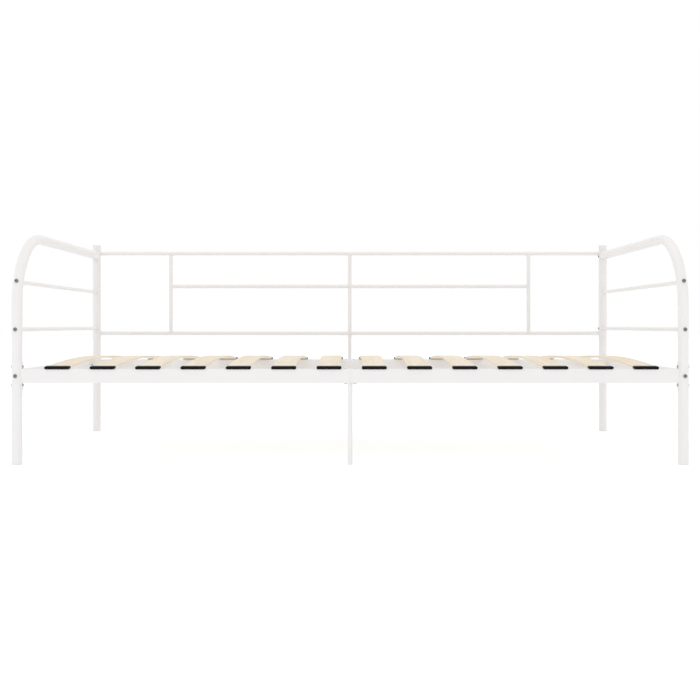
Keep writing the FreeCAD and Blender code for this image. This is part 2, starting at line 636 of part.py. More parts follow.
# ---- Back panel of welded rods. ----

ROD_COPE = "Dims.rod_diameter / 2 + Dims.cope_gap"


def panel_rod(label, start, finish, height, start_cope, finish_cope):
    """Level rod between two X positions; each end is coped to the standing piece it meets."""
    body = round_tube(label, f"({finish}) - ({start})")
    for name, radius, end in (("start", start_cope, "0"), ("finish", finish_cope, f"({finish}) - ({start})")):
        bore(body, f"{label}_{name}_cope", "+X", radius, "3 * Dims.rod_diameter",
             x="-1.5 * Dims.rod_diameter", z=end)
    place(body, TOWARDS["+X"], start, "Dims.half_depth", height)
    return body


def panel_upright(label, x, bottom, is_coped):
    """Standing rod whose top is coped to the top rod, and its foot to the low rod if it meets it."""
    length = f"(Dims.panel_top_height - {bottom})"
    body = round_tube(label, length)
    levels = [("top", length)]
    if is_coped:
        levels.append(("foot", "0"))
    for name, level in levels:
        bore(body, f"{label}_{name}_cope", "+X", ROD_COPE, "3 * Dims.rod_diameter",
             x="-1.5 * Dims.rod_diameter", z=level)
    place(body, Rotation(), x, "Dims.half_depth", bottom)


POST_X = "Dims.half_length"
UPRIGHT_X = "Dims.panel_upright_offset"
top_rod = panel_rod("panel_top_rod", "-" + POST_X, POST_X, "Dims.panel_top_height", COPE, COPE)
for relief_side, relief_z in (("left", "0"), ("right", f"2 * {POST_X}")):
    bore(top_rod, f"panel_top_rod_{relief_side}_relief", "+Y", COPE, "2 * Dims.tube_diameter",
         x="Dims.panel_top_height - Dims.arm_height", y="-2 * Dims.tube_diameter", z=relief_z)
panel_rod("panel_left_low_rod", "-" + POST_X, "0", "Dims.panel_low_height", COPE, ROD_COPE)
panel_rod("panel_right_low_rod", "0", POST_X, "Dims.panel_low_height", ROD_COPE, COPE)
panel_rod("panel_left_middle_rod", "-" + UPRIGHT_X, "0", "Dims.panel_middle_height", ROD_COPE, ROD_COPE)
panel_rod("panel_right_middle_rod", "0", UPRIGHT_X, "Dims.panel_middle_height", ROD_COPE, ROD_COPE)
panel_upright("panel_left_upright", "-" + UPRIGHT_X, "Dims.panel_low_height", True)
panel_upright("panel_right_upright", UPRIGHT_X, "Dims.panel_low_height", True)
panel_upright("panel_centre_upright", "0", "Dims.flange_height", False)


# ---- Slats and their caps. ----

def slat(number):
    """Crowned slat; its own origin is at mid span on the level of the rail's top."""
    label = f"slat_{number:02d}"
    body = new_body(label)
    band = new_sketch(body, label + "_band", "YZ_Plane")
    half = sheet.slat_half
    radius = (half ** 2 + sheet.slat_crown ** 2) / (2 * sheet.slat_crown)
    centre = Vector(0, sheet.slat_seat + sheet.slat_crown - radius)
    sweep = math.asin(half / radius)
    arcs = []
    for offset in (0, sheet.slat_thickness):
        circle = Part.Circle(centre, Vector(0, 0, 1), radius + offset)
        arcs.append(band.addGeometry(Part.ArcOfCircle(circle, math.pi / 2 - sweep, math.pi / 2 + sweep)))
    band.addConstraint(Sketcher.Constraint("PointOnObject", arcs[0], 3, -2))
    band.addConstraint(Sketcher.Constraint("Coincident", arcs[0], 3, arcs[1], 3))
    for tip, angle in ((1, math.pi / 2 - sweep), (2, math.pi / 2 + sweep)):
        ray = Vector(math.cos(angle), math.sin(angle))
        inner = centre + ray * radius
        outer = centre + ray * (radius + sheet.slat_thickness)
        line = band.addGeometry(Part.LineSegment(inner, outer))
        band.addConstraint(Sketcher.Constraint("Coincident", line, 1, arcs[0], tip))
        band.addConstraint(Sketcher.Constraint("Coincident", line, 2, arcs[1], tip))
        band.addConstraint(Sketcher.Constraint("PointOnObject", arcs[0], 3, line))
    lower = Sketcher.Constraint("Radius", arcs[0], radius)
    upper = Sketcher.Constraint("Radius", arcs[1], radius + sheet.slat_thickness)
    span = Sketcher.Constraint("DistanceX", arcs[0], 2, arcs[0], 1, 2 * half)
    seat = Sketcher.Constraint("DistanceY", -1, 1, arcs[0], 1, sheet.slat_seat)
    band.addConstraint(Sketcher.Constraint("Symmetric", arcs[0], 1, arcs[0], 2, -2))
    dimension(band, "underside", lower, SLAT_RADIUS)
    dimension(band, "top", upper, SLAT_RADIUS + " + Dims.slat_thickness")
    dimension(band, "span", span, "2 * Dims.slat_half")
    dimension(band, "seat", seat, "Dims.slat_seat")
    board = pad(body, label + "_board", band, "Dims.slat_width", "Symmetric")
    doc.recompute()
    long_edges = []
    for index, edge in enumerate(board.Shape.Edges, start=1):
        if edge.Length > half:
            long_edges.append(f"Edge{index}")
    easing = body.newObject("PartDesign::Fillet", label + "_easing")
    easing.Base = (board, long_edges)
    easing.setExpression("Radius", "Dims.slat_easing")
    place(body, Rotation(), slat_x(number), "(Dims.back_rail_depth - Dims.half_depth) / 2", RAIL_TOP)


def slat_x(number):
    """X position of a slat, counted from 1 at the left."""
    return f"Dims.slat_row_offset + ({number} - {(SLAT_COUNT + 1) / 2}) * Dims.slat_pitch"


def slat_cap():
    """Cap for a slat's front end; its own origin is on the rail's centre line at its top face."""
    body = new_body("slat_cap")
    tilt = Rotation(Vector(1, 0, 0), SLAT_TILT)
    face_y = -(sheet.rail_thickness / 2 + sheet.cap_overhang)
    # Middle of the slat's thickness on the rail's centre line, above the rail.
    rise = math.tan(math.radians(SLAT_TILT))
    middle = sheet.slat_seat + rise * sheet.slat_overhang + sheet.slat_thickness / 2

    shell = new_sketch(body, "slat_cap_section", "XZ_Plane")
    shell.AttachmentOffset = Placement(Vector(0, middle + rise * face_y, -face_y), tilt)
    add_capsule(shell, "shell", sheet.cap_width, sheet.cap_height, "Dims.cap_width", "Dims.cap_height")
    block = pad(body, "slat_cap_block", shell, "Dims.cap_length")
    block.Reversed = True
    doc.recompute()
    end_face = min(block.Shape.Faces, key=lambda face: face.CenterOfMass.y)
    rim = [f"Edge{number}" for number, edge in enumerate(block.Shape.Edges, start=1)
           if any(edge.isSame(other) for other in end_face.Edges)]
    rounding = body.newObject("PartDesign::Fillet", "slat_cap_rim")
    rounding.Base = (block, rim)
    rounding.setExpression("Radius", "Dims.cap_rounding")

    pocket_section = new_sketch(body, "slat_cap_pocket_section", "XZ_Plane")
    mouth_y = face_y + sheet.cap_length
    pocket_section.AttachmentOffset = Placement(Vector(0, middle + rise * mouth_y, -mouth_y), tilt)
    add_rectangle(pocket_section, "pocket", 70, 5, "Dims.slat_width + 2 * Dims.cap_fit",
                  "Dims.slat_thickness + Dims.cap_fit")
    pocket = body.newObject("PartDesign::Pocket", "slat_cap_pocket")
    pocket.Profile = pocket_section
    pocket.SideType = "Symmetric"
    pocket.setExpression("Length", "2 * (Dims.cap_length - Dims.cap_overhang + 1)")

    slot(body, "slat_cap_step", "2 * Dims.cap_width", "Dims.rail_thickness + 2 * Dims.sleeve_fit",
         "Dims.cap_height", "-Dims.cap_width", "-Dims.rail_thickness / 2 - Dims.sleeve_fit",
         "Dims.cope_gap - Dims.cap_height")
    for name, sign in (("left", "-1"), ("right", "1")):
        peg = body.newObject("PartDesign::AdditiveCylinder", f"slat_cap_{name}_peg")
        place(peg, TOWARDS["-Z"], f"{sign} * Dims.peg_offset", "0", "Dims.slat_seat / 2")
        bind(peg, {"Radius": "Dims.peg_diameter / 2", "Height": "Dims.peg_length"})
    return body


def add_capsule(sketch, name, start_width, start_height, width, height):
    """Add a flat outline with full-round ends, centred on the sketch's origin."""
    radius = start_height / 2
    reach = start_width / 2 - radius
    normal = Vector(0, 0, 1)
    bottom = sketch.addGeometry(Part.LineSegment(Vector(-reach, -radius), Vector(reach, -radius)))
    right_end = Part.ArcOfCircle(Part.Circle(Vector(reach, 0), normal, radius), -math.pi / 2, math.pi / 2)
    right = sketch.addGeometry(right_end)
    top = sketch.addGeometry(Part.LineSegment(Vector(reach, radius), Vector(-reach, radius)))
    left_end = Part.ArcOfCircle(Part.Circle(Vector(-reach, 0), normal, radius), math.pi / 2, 1.5 * math.pi)
    left = sketch.addGeometry(left_end)
    outline = ((bottom, right), (right, top), (top, left), (left, bottom))
    for first, second in outline:
        sketch.addConstraint(Sketcher.Constraint("Tangent", first, 2, second, 1))
    sketch.addConstraint(Sketcher.Constraint("Horizontal", bottom))
    sketch.addConstraint(Sketcher.Constraint("Symmetric", right, 3, left, 3, -1, 1))
    end_radius = Sketcher.Constraint("Radius", right, radius)
    centres = Sketcher.Constraint("DistanceX", left, 3, right, 3, 2 * reach)
    dimension(sketch, name + "_end", end_radius, f"{height} / 2")
    dimension(sketch, name + "_reach", centres, f"{width} - {height}")


for slat_number in range(1, SLAT_COUNT + 1):
    slat(slat_number)

cap_places = []
for slat_number in range(1, SLAT_COUNT + 1):
    cap_places.append((Rotation(), slat_x(slat_number), RAIL_Y["front"], RAIL_TOP))
    cap_places.append((HALF_TURN, slat_x(slat_number), RAIL_Y["back"], RAIL_TOP))
group("slat_caps", slat_cap(), cap_places)


# ---- Fasteners. ----

HEAD_STEPS = 5
# A head's straight rim and its flat top, as shares of its height and of its socket's radius.
RIM_SHARE = 0.25
FLAT_SHARE = 1.3
SOCKET_DEPTH_SHARE = 0.7
TIP_CHAMFER = 0.8


def domed(head_radius, head_height, flat_radius):
    """Outline points of a domed head, from its rim up to its flat top."""
    dome = []
    for step in range(HEAD_STEPS + 1):
        angle = math.pi / 2 * step / HEAD_STEPS
        dome.append((flat_radius + (head_radius - flat_radius) * math.cos(angle),
                     head_height * (RIM_SHARE + (1 - RIM_SHARE) * math.sin(angle))))
    return dome


def button_bolt(label, head_radius, head_height, shank_radius, length, socket):
    """Bolt with a domed head above its own origin and a shank below it, with a hexagon socket."""
    dome = domed(head_radius, head_height, FLAT_SHARE * socket)
    outline = [(0, -length), (shank_radius - TIP_CHAMFER, -length), (shank_radius, TIP_CHAMFER - length),
               (shank_radius, 0), (head_radius, 0)] + dome + [(0, head_height)]
    body = turned(label, outline)
    hexagon_socket(body, socket, head_height)
    return body


def hexagon_socket(body, socket, head_height):
    """Sink a hexagon into the top of a head."""
    recess = new_sketch(body, body.Label + "_socket")
    hexagon(recess, socket)
    recess.AttachmentOffset = Placement(Vector(0, 0, head_height), Rotation())
    drive = body.newObject("PartDesign::Pocket", body.Label + "_drive")
    drive.Profile = recess
    drive.Length = SOCKET_DEPTH_SHARE * head_height
    recess.Visibility = False


def hexagon(sketch, inner_radius):
    """Regular hexagon about the sketch's origin, by the radius of its inscribed circle."""
    radius = inner_radius / math.cos(math.pi / 6)
    points = [Vector(radius * math.cos(math.pi / 3 * index), radius * math.sin(math.pi / 3 * index))
              for index in range(6)]
    for index, point in enumerate(points):
        line = sketch.addGeometry(Part.LineSegment(point, points[(index + 1) % 6]))
        sketch.addConstraint(Sketcher.Constraint("Block", line))


def sleeve_nut(label, length, height, socket):
    """Nut with a low domed flange above its own origin and a blind barrel below it."""
    thread = sheet.bolt_diameter / 2 + sheet.thread_fit
    barrel = sheet.sleeve_nut_diameter / 2
    flange = sheet.sleeve_nut_flange / 2
    dome = domed(flange, height, FLAT_SHARE * socket)
    outline = [(thread, -length), (barrel, -length), (barrel, 0), (flange, 0)]
    body = turned(label, outline + dome + [(0, height), (0, -height), (thread, -height)])
    hexagon_socket(body, socket, height)
    return body


def hexagon_nut(label, height):
    """Nut above its own origin with a plain bore that clears the bolt's thread."""
    body = new_body(label)
    outline = new_sketch(body, label + "_outline")
    hexagon(outline, sheet.nut_width / 2)
    pad(body, label + "_block", outline, f"{height}")
    bore(body, label + "_thread", "+Z", THREAD_BORE, f"2 * {height}")
    return body


def insert_outline(inner, outer):
    """Outline of a round insert from its own origin up, with a chamfered front rim."""
    length = sheet.insert_length
    rim = TIP_CHAMFER / 2
    return [(inner, 0), (outer - rim, 0), (outer, rim), (outer, length), (inner, length)]


THREAD_BORE = "Dims.bolt_diameter / 2 + Dims.thread_fit"
BOLT = sheet.bolt_diameter / 2
HEAD = sheet.head_diameter / 2
# Radius of the circle inside a hexagon socket.
SOCKET = 2.0
SMALL_SOCKET = 1.2

# Bolts through each leg and post into the rungs and the end rail, on shaped washers.
RUNG_BOLT_LENGTH = 46
RUNG_HEAD_HEIGHT = 3.4
FLAT_SEAT = f"(Dims.half_depth + {TUBE_RADIUS} + Dims.washer_edge)"
SLOPE_PIVOT_Y = "(Dims.half_depth - Dims.slope_insert_start - Dims.slope_pivot)"
SLOPE_SEAT_Y = f"-({SLOPE_PIVOT_Y} + Dims.slope_reach * cos(Dims.slope_tilt))"
SLOPE_SEAT_Z = "Dims.upper_rung_height + Dims.slope_reach * sin(Dims.slope_tilt)"
rung_seats = []
for end_sign in SIDES.values():
    frame_x = f"{end_sign} * Dims.half_length"
    for rung_level in ("Dims.lower_rung_height", "Dims.rail_level"):
        rung_seats.append((TOWARDS["-Y"], frame_x, f"-{FLAT_SEAT}", rung_level))
    rung_seats.append((TOWARDS["up the bend"], frame_x, SLOPE_SEAT_Y, SLOPE_SEAT_Z))
    for rung_level in ("Dims.upper_rung_height", "Dims.rail_level"):
        rung_seats.append((TOWARDS["+Y"], frame_x, FLAT_SEAT, rung_level))
rung_bolt = button_bolt("rung_bolt", HEAD, RUNG_HEAD_HEIGHT, BOLT, RUNG_BOLT_LENGTH, SOCKET)
group("rung_bolts", rung_bolt, rung_seats)


def washer(number, turn, x, y, z):
    """Washer under a rung bolt: flat outside, shaped to the tube inside, bored for the bolt."""
    name = f"rung_washer_{number}"
    inward = turn * TOWARDS["-Z"]
    disc = doc.addObject("Part::Cylinder", name + "_disc")
    place(disc, inward, x, y, z)
    bind(disc, {"Radius": "Dims.head_diameter / 2 - 3 * Dims.slide_fit", "Height": "Dims.washer_depth"})
    hole = doc.addObject("Part::Cylinder", name + "_hole")
    place(hole, inward, x, y, z)
    bind(hole, {"Radius": HOLE_RADIUS, "Height": "2 * Dims.washer_depth"})
    tube_radius_in_washer = TUBE_RADIUS + " + Dims.thread_fit"
    if z == SLOPE_SEAT_Z:
        tube = doc.addObject("Part::Torus", name + "_bend")
        place(tube, TOWARDS["+X"], x, "Dims.bend_radius - Dims.half_depth", BEND_START)
        bind(tube, {"Radius1": "Dims.bend_radius", "Radius2": tube_radius_in_washer})
    else:
        tube = doc.addObject("Part::Cylinder", name + "_tube")
        tube_y = "Dims.half_depth" if y == FLAT_SEAT else "-Dims.half_depth"
        place(tube, Rotation(), x, tube_y, f"{z} - Dims.tube_diameter")
        bind(tube, {"Radius": tube_radius_in_washer, "Height": "2 * Dims.tube_diameter"})
    tools = doc.addObject("Part::MultiFuse", name + "_tools")
    tools.Shapes = [hole, tube]
    piece = doc.addObject("Part::Cut", name)
    piece.Base = disc
    piece.Tool = tools
    return piece


collect("rung_washers", [washer(number, *seat) for number, seat in enumerate(rung_seats, start=1)])

# Threaded inserts in the rung ends; the one behind the bend is threaded at its bolt's tilt.
ROD_END = f"({TUBE_RADIUS} + Dims.insert_inset)"
insert_radius = sheet.rung_diameter / 2 - sheet.rod_wall - sheet.slide_fit
thread_radius = BOLT + sheet.thread_fit
insert_places = []
slope_insert_places = []
for end_sign in SIDES.values():
    frame_x = f"{end_sign} * Dims.half_length"
    insert_places.append((TOWARDS["+Y"], frame_x, f"{ROD_END} - Dims.half_depth", "Dims.lower_rung_height"))
    insert_places.append((TOWARDS["-Y"], frame_x, f"Dims.half_depth - {ROD_END}", "Dims.upper_rung_height"))
    slope_insert_places.append((TOWARDS["+Y"], frame_x, "Dims.slope_insert_start - Dims.half_depth",
                                "Dims.upper_rung_height"))
rung_insert = turned("rung_insert", insert_outline(thread_radius, insert_radius))
group("rung_inserts", rung_insert, insert_places)

slope_insert = turned("slope_insert", insert_outline(0, insert_radius))
bore(slope_insert, "slope_insert_thread", "out of the insert", THREAD_BORE, "4 * Dims.insert_length",
     y="2 * Dims.insert_length * sin(Dims.slope_tilt)",
     z="Dims.slope_pivot + 2 * Dims.insert_length * cos(Dims.slope_tilt)")
group("bend_rung_inserts", slope_insert, slope_insert_places)

# Nut blocks inside the ends of the end rails.
nut_block = new_body("nut_block")
block_outline = new_sketch(nut_block, "nut_block_outline")
inside_wall = "2 * Dims.rail_wall - 2 * Dims.slide_fit"
add_rectangle(block_outline, "block", 16, 36, f"Dims.rail_thickness - {inside_wall}",
              f"Dims.end_rail_height - {inside_wall}")
pad(nut_block, "nut_block_solid", block_outline, "Dims.insert_length")
bore(nut_block, "nut_block_thread", "+Z", THREAD_BORE, "2 * Dims.insert_length")
block_places = []
for end_sign in SIDES.values():
    frame_x = f"{end_sign} * Dims.half_length"
    block_places.append((TOWARDS["+Y"], frame_x, f"{ROD_END} - Dims.half_depth", "Dims.rail_level"))
    block_places.append((TOWARDS["-Y"], frame_x, f"Dims.half_depth - {ROD_END}", "Dims.rail_level"))
group("end_rail_nut_blocks", nut_block, block_places)

# Two bolts hold each saddle to its leg and each end plate to its end rail.  Their sleeve nuts
# stand in the outer side of the leg or end rail.
JOINT_BOLT_LENGTH = 28
PLATE_BOLT_LENGTH = 20
LOW_HEAD_HEIGHT = 2.5
SLEEVE_NUT_LENGTH = 14
SLEEVE_NUT_HEIGHT = 2
joint_bolt_places = []
plate_bolt_places = []
sleeve_nut_places = []
for side_name, side_sign in SIDES.items():
    outward = TOWARDS["-X" if side_name == "left" else "+X"]
    inward = TOWARDS["+X" if side_name == "left" else "-X"]
    saddle_face = f"{side_sign} * (Dims.half_length - {SADDLE_RADIUS})"
    leg_face = f"{side_sign} * (Dims.half_length + {TUBE_RADIUS})"
    for joint_level in JOINT_LEVELS.values():
        joint_bolt_places.append((inward, saddle_face, RAIL_Y["front"], joint_level))
        sleeve_nut_places.append((outward, leg_face, RAIL_Y["front"], joint_level))
    plate_face = f"{side_sign} * {PLATE_FACE}"
    end_rail_face = f"{side_sign} * (Dims.half_length + Dims.rail_thickness / 2)"
    for sign in ("-", "+"):
        bolt_y = f"{RAIL_Y['back']} {sign} Dims.plate_bolt_spacing / 2"
        plate_bolt_places.append((inward, plate_face, bolt_y, "Dims.rail_level"))
        sleeve_nut_places.append((outward, end_rail_face, bolt_y, "Dims.rail_level"))
joint_bolt = button_bolt("leg_joint_bolt", HEAD - 1, LOW_HEAD_HEIGHT, BOLT, JOINT_BOLT_LENGTH, SOCKET)
plate_bolt = button_bolt("end_plate_bolt", HEAD - 1, LOW_HEAD_HEIGHT, BOLT, PLATE_BOLT_LENGTH, SOCKET)
group("leg_joint_bolts", joint_bolt, joint_bolt_places)
group("end_plate_bolts", plate_bolt, plate_bolt_places)
barrel_nut = sleeve_nut("sleeve_nut", SLEEVE_NUT_LENGTH, SLEEVE_NUT_HEIGHT, SOCKET)
group("sleeve_nuts", barrel_nut, sleeve_nut_places)

# Lock screws in the posts' left sides; both end frames are the same part.
LOCK_HEAD_RADIUS = 4.2
LOCK_SCREW_LENGTH = 14
lock_places = []
for end_sign in SIDES.values():
    for lock_level in ("Dims.arm_lock_height", "Dims.lower_rung_height"):
        lock_places.append((TOWARDS["-X"], f"{end_sign} * Dims.half_length - {TUBE_RADIUS}",
                            "Dims.half_depth", lock_level))
lock_radius = sheet.lock_diameter / 2 - 2 * sheet.slide_fit
lock_screw = button_bolt("post_lock_screw", LOCK_HEAD_RADIUS, LOW_HEAD_HEIGHT, lock_radius,
                         LOCK_SCREW_LENGTH, SMALL_SOCKET)
group("post_lock_screws", lock_screw, lock_places)

# Upright bolts through the side rail joints, with thin nuts below.
RAIL_BOLT_LENGTH = 47.5
RAIL_NUT_HEIGHT = 3.5
rail_bolt_places = []
rail_nut_places = []
for rail_y in RAIL_Y.values():
    for side_sign in SIDES.values():
        bolt_x = f"{side_sign} * Dims.rail_bolt_offset"
        rail_bolt_places.append((Rotation(), bolt_x, rail_y, RAIL_TOP))
        rail_nut_places.append((TOWARDS["-Z"], bolt_x, rail_y, RAIL_BOTTOM))
rail_bolt = button_bolt("rail_joint_bolt", HEAD - 1, LOW_HEAD_HEIGHT, BOLT, RAIL_BOLT_LENGTH, SOCKET)
group("rail_joint_bolts", rail_bolt, rail_bolt_places)
group("rail_joint_nuts", hexagon_nut("rail_joint_nut", RAIL_NUT_HEIGHT), rail_nut_places)


# ---- Check every object, then write one file for each node. ----

doc.recompute()
for item in doc.Objects:
    if "Invalid" in item.State or "Error" in item.State:
        raise RuntimeError(f"{item.Label} failed: {item.State}")
for node in nodes:
    if node.Shape.isNull() or not node.Shape.isValid():
        raise RuntimeError(f"{node.Label} has no valid shape")
for node in nodes:
    node.Shape.exportStep(f"parts/{node.Label}.step")
    print(node.Label, len(node.Shape.Solids), round(node.Shape.Volume), node.Shape.BoundBox)
print(len(nodes), "nodes")
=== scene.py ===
import json
import math

import bmesh
import bpy
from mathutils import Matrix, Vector


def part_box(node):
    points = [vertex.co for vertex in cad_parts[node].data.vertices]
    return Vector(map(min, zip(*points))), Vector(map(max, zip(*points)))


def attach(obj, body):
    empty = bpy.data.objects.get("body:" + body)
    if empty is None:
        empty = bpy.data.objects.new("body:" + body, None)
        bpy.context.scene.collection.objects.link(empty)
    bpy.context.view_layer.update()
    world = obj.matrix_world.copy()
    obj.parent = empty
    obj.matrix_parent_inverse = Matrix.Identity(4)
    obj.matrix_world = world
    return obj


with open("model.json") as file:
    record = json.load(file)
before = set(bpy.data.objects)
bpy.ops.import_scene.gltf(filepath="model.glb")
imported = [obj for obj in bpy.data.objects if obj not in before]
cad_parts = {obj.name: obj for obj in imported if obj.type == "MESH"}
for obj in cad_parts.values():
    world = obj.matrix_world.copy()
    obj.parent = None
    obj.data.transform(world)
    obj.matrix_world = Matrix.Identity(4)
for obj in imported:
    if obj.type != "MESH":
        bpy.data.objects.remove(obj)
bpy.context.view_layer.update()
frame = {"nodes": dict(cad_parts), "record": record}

# Looks of a white tubular daybed with birch slats: materials, weld beads, light and camera.
# Metres.  +X runs to the right, +Y to the back, +Z up.

SLAT_THICKNESS = 0.0065
PLY_COUNT = 5
SADDLE_THICKNESS = 0.0015
RAIL_CORNER = 0.002


# ---- Places taken from the frame ----

def middle(node):
    low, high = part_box(node)
    return (low + high) / 2


front_leg = middle("front_centre_leg")
slat_low, slat_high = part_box("slat_01")
slat_pitch = middle("slat_02").x - middle("slat_01").x


# ---- Node helpers ----

def add(tree, kind, inputs=None, **properties):
    """Add a node; each input is a constant or another node's output."""
    node = tree.nodes.new(kind)
    for name, value in properties.items():
        setattr(node, name, value)
    for name, value in (inputs or {}).items():
        connect(tree, node.inputs[name], value)
    return node


def connect(tree, socket, value):
    """Give a socket a constant or another node's output."""
    if isinstance(value, bpy.types.NodeSocket):
        tree.links.new(value, socket)
    else:
        socket.default_value = value


def new_material(name):
    """New material, its node tree and its shader."""
    material = bpy.data.materials.new(name)
    material.use_nodes = True
    tree = material.node_tree
    return material, tree, tree.nodes["Principled BSDF"]


def position(tree):
    """Place on the object in metres; every node's origin is the frame's."""
    return add(tree, "ShaderNodeTexCoord").outputs["Object"]


def stretched(tree, vector, scale):
    """The same place with each axis scaled by its own factor."""
    return add(tree, "ShaderNodeMapping", {"Vector": vector, "Scale": scale}).outputs["Vector"]


def noise(tree, vector, scale, detail=2.0, roughness=0.5, distortion=0.0):
    """Noise from 0 to 1 whose features are about one over the scale across."""
    inputs = {"Vector": vector, "Scale": scale, "Detail": detail, "Roughness": roughness,
              "Distortion": distortion}
    return add(tree, "ShaderNodeTexNoise", inputs).outputs["Fac"]


def remap(tree, value, low, high, new_low, new_high):
    """Take low..high to new_low..new_high, and hold the ends."""
    inputs = {"Value": value, "From Min": low, "From Max": high,
              "To Min": new_low, "To Max": new_high}
    return add(tree, "ShaderNodeMapRange", inputs).outputs["Result"]


def calculate(tree, operation, first, second=0.0):
    """Result of a math operation on one or two values."""
    node = add(tree, "ShaderNodeMath", operation=operation)
    connect(tree, node.inputs[0], first)
    connect(tree, node.inputs[1], second)
    return node.outputs["Value"]


def blend_colours(tree, factor, first, second):
    """The first colour where the factor is 0 and the second where it is 1."""
    node = add(tree, "ShaderNodeMix", data_type="RGBA", blend_type="MIX")
    connect(tree, node.inputs["Factor"], factor)
    connect(tree, node.inputs["A"], first)
    connect(tree, node.inputs["B"], second)
    return node.outputs["Result"]


def bump(tree, shader, height, strength, distance):
    """Add surface relief on top of any relief that the shader already has."""
    inputs = {"Height": height, "Strength": strength, "Distance": distance}
    below = shader.inputs["Normal"].links
    if below:
        inputs["Normal"] = below[0].from_socket
    relief = add(tree, "ShaderNodeBump", inputs)
    tree.links.new(relief.outputs["Normal"], shader.inputs["Normal"])


def colour(red, green, blue):
    """Opaque linear colour."""
    return (red, green, blue, 1.0)


# Noise seldom leaves this range.
NOISE_SPREAD = (0.3, 0.7)


def set_tone(tree, shader, pattern, first, second):
    """Base colour that follows a pattern between two colours."""
    tone = blend_colours(tree, pattern, first, second)
    tree.links.new(tone, shader.inputs["Base Color"])


def set_gloss(tree, shader, pattern, shiny, dull):
    """Roughness that follows a noise pattern between two values."""
    gloss = remap(tree, pattern, *NOISE_SPREAD, shiny, dull)
    tree.links.new(gloss, shader.inputs["Roughness"])


# ---- Materials ----

def powder_coat():
    """White semi-gloss powder coat: a shallow orange peel and a fine grain over it."""
    material, tree, shader = new_material("white_powder_coat")
    place = position(tree)
    set_tone(tree, shader, noise(tree, place, 7.0, 3.0),
             colour(0.778, 0.754, 0.742), colour(0.807, 0.783, 0.770))
    set_gloss(tree, shader, noise(tree, place, 55.0, 4.0), 0.30, 0.40)
    bump(tree, shader, noise(tree, place, 420.0, 2.0), 0.35, 0.00012)
    bump(tree, shader, noise(tree, place, 2600.0, 1.0), 0.20, 0.00003)
    return material


# Features of the wood per metre: across the board, along it and through it.
FIGURE_SCALE = (34.0, 1.6, 34.0)
STREAK_SCALE = (420.0, 5.0, 420.0)
PORE_SCALE = (1500.0, 90.0, 1500.0)
EDGE_GRAIN_SCALE = (900.0, 260.0, 1400.0)
FIGURE_SHIFT = 9.0

LIGHT_WOOD = colour(0.815, 0.730, 0.597)
DARK_WOOD = colour(0.733, 0.624, 0.467)
STREAK_WOOD = colour(0.66, 0.52, 0.35)
PORE_WOOD = colour(0.50, 0.37, 0.24)
SHADED_WOOD = colour(0.74, 0.60, 0.42)
LIGHT_CROSS_PLY = colour(0.80, 0.69, 0.52)
DARK_CROSS_PLY = colour(0.71, 0.59, 0.42)


def birch_plywood():
    """Bent birch plywood: long grain on the faces and stacked plies along the edges."""
    material, tree, shader = new_material("birch_plywood")
    place = position(tree)
    axes = add(tree, "ShaderNodeSeparateXYZ", {"Vector": place}).outputs

    # Every slat is its own board: shift the figure along by an amount of its own.
    board = calculate(tree, "ROUND", calculate(tree, "DIVIDE", axes["X"], slat_pitch))
    draw = add(tree, "ShaderNodeTexWhiteNoise", {"W": board}, noise_dimensions="1D")
    amount = calculate(tree, "MULTIPLY", draw.outputs["Value"], FIGURE_SHIFT)
    shift = add(tree, "ShaderNodeCombineXYZ", {"Y": amount}).outputs["Vector"]
    moved = add(tree, "ShaderNodeVectorMath", {0: place, 1: shift}).outputs["Vector"]

    # Broad figure, fine streaks and short pores, all drawn out along the board.
    figure = noise(tree, stretched(tree, moved, FIGURE_SCALE), 1.0, 3.0, 0.55, 0.9)
    streaks = noise(tree, stretched(tree, moved, STREAK_SCALE), 1.0, 3.0, 0.6)
    pores = noise(tree, stretched(tree, moved, PORE_SCALE), 1.0, 1.0)
    figure_share = remap(tree, figure, 0.35, 0.68, 0.0, 0.85)
    streak_share = remap(tree, streaks, 0.45, 0.75, 0.0, 0.30)
    pore_share = remap(tree, pores, 0.68, 0.78, 0.0, 0.35)
    board_share = remap(tree, draw.outputs["Value"], 0.0, 1.0, 0.0, 0.16)
    wood = blend_colours(tree, figure_share, LIGHT_WOOD, DARK_WOOD)
    wood = blend_colours(tree, streak_share, wood, STREAK_WOOD)
    wood = blend_colours(tree, pore_share, wood, PORE_WOOD)
    wood = blend_colours(tree, board_share, wood, SHADED_WOOD)

    edge_grain = noise(tree, stretched(tree, moved, EDGE_GRAIN_SCALE), 1.0, 2.0)
    cross_ply = blend_colours(tree, remap(tree, edge_grain, 0.35, 0.65, 0.0, 1.0),
                              LIGHT_CROSS_PLY, DARK_CROSS_PLY)
    set_tone(tree, shader, is_cross_ply(tree, axes), wood, cross_ply)
    set_gloss(tree, shader, streaks, 0.48, 0.62)
    bump(tree, shader, streaks, 0.25, 0.00008)
    bump(tree, shader, calculate(tree, "SUBTRACT", 1.0, pore_share), 0.5, 0.00006)
    shader.inputs["Coat Weight"].default_value = 0.05
    shader.inputs["Coat Roughness"].default_value = 0.35
    return material


